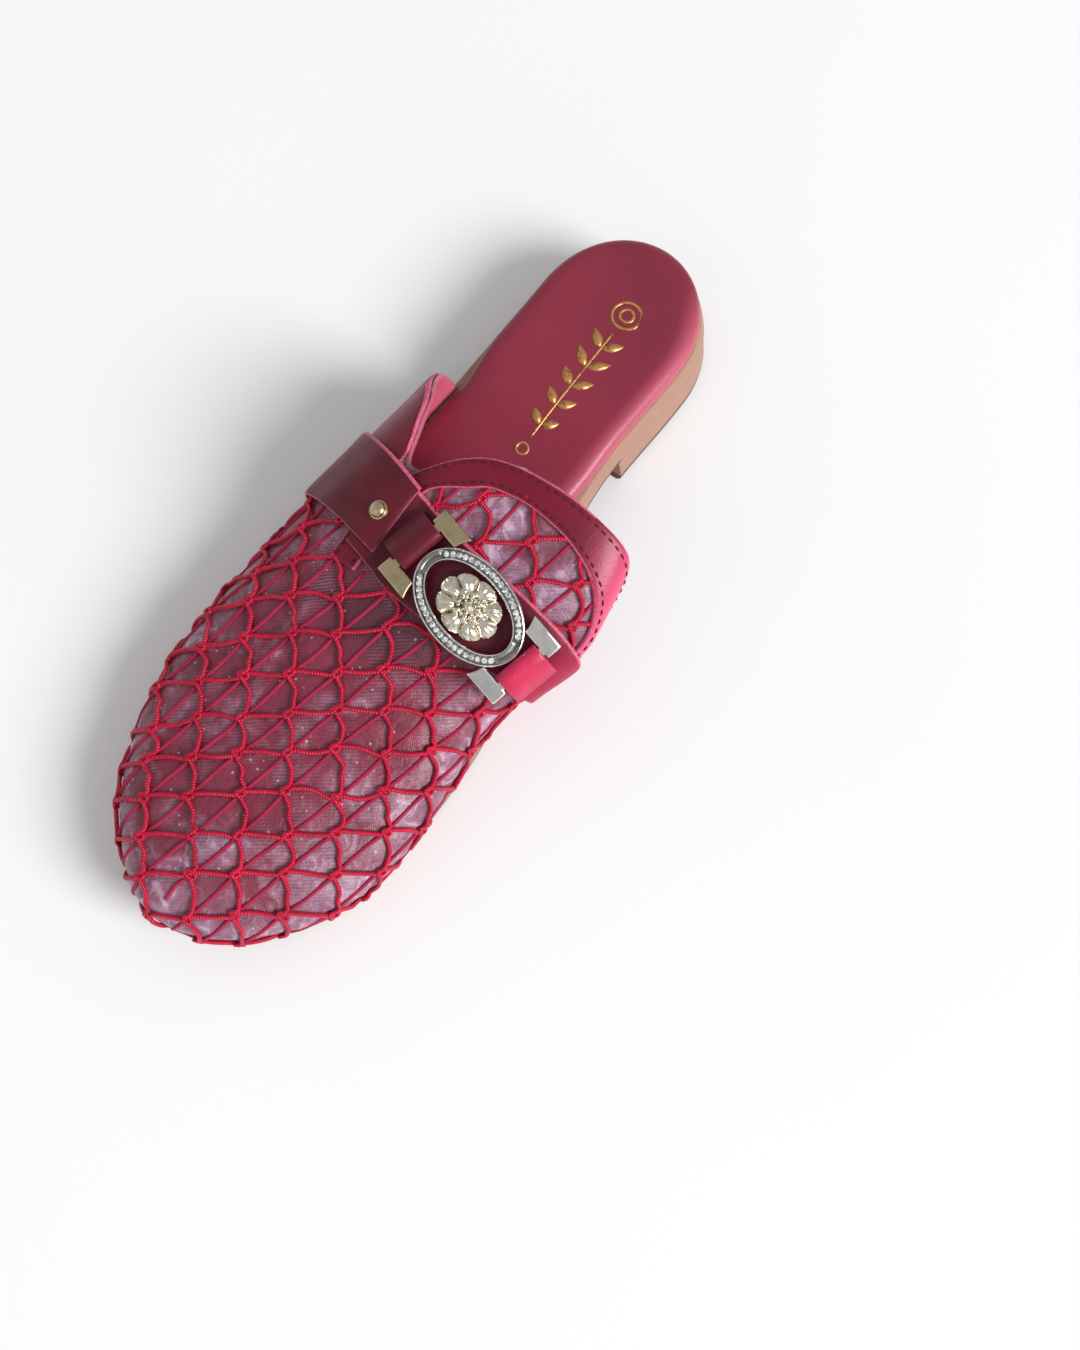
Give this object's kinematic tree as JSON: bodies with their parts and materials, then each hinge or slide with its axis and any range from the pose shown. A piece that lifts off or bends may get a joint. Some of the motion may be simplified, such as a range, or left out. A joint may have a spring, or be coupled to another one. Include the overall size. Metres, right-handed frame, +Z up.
{
  "type": "slipper",
  "caption": "Backless mule slipper for the right foot: low heeled sole, padded insole, hollow netted upper, leather strap and oval metal ornament.",
  "frame": {"origin": "on the floor, at the middle of the slipper's box", "axes": "toe towards -Y, inner side of the right foot at +X, +Z up"},
  "size_m": [0.1004, 0.2542, 0.056],
  "materials": {
    "sole_tan": "matte tan sole edge",
    "insole_red": "smooth crimson leather, soft gloss",
    "organza_mauve": "fine mesh over glossy mauve organza",
    "leather_red": "smooth red leather, stitched",
    "metal_silver": "polished pale metal with stones",
    "metal_gold": "polished pale gold",
    "cord_red": "shiny red cord"
  },
  "bodies": {
    "root": {"sole": "sole_tan", "heel": "sole_tan", "insole": "insole_red", "upper": "organza_mauve", "quarter_outer": "leather_red", "collar_band": "leather_red", "strap_inner": "leather_red", "strap_outer": "leather_red", "loop_outer": "leather_red", "loop_inner": "leather_red", "buckle_ring": "metal_silver", "rosette": "metal_gold", "link_outer": "metal_gold", "link_inner": "metal_silver", "rivet": "metal_gold", "net_vamp": "cord_red", "net_tongue": "cord_red"}
  },
  "joints": []
}
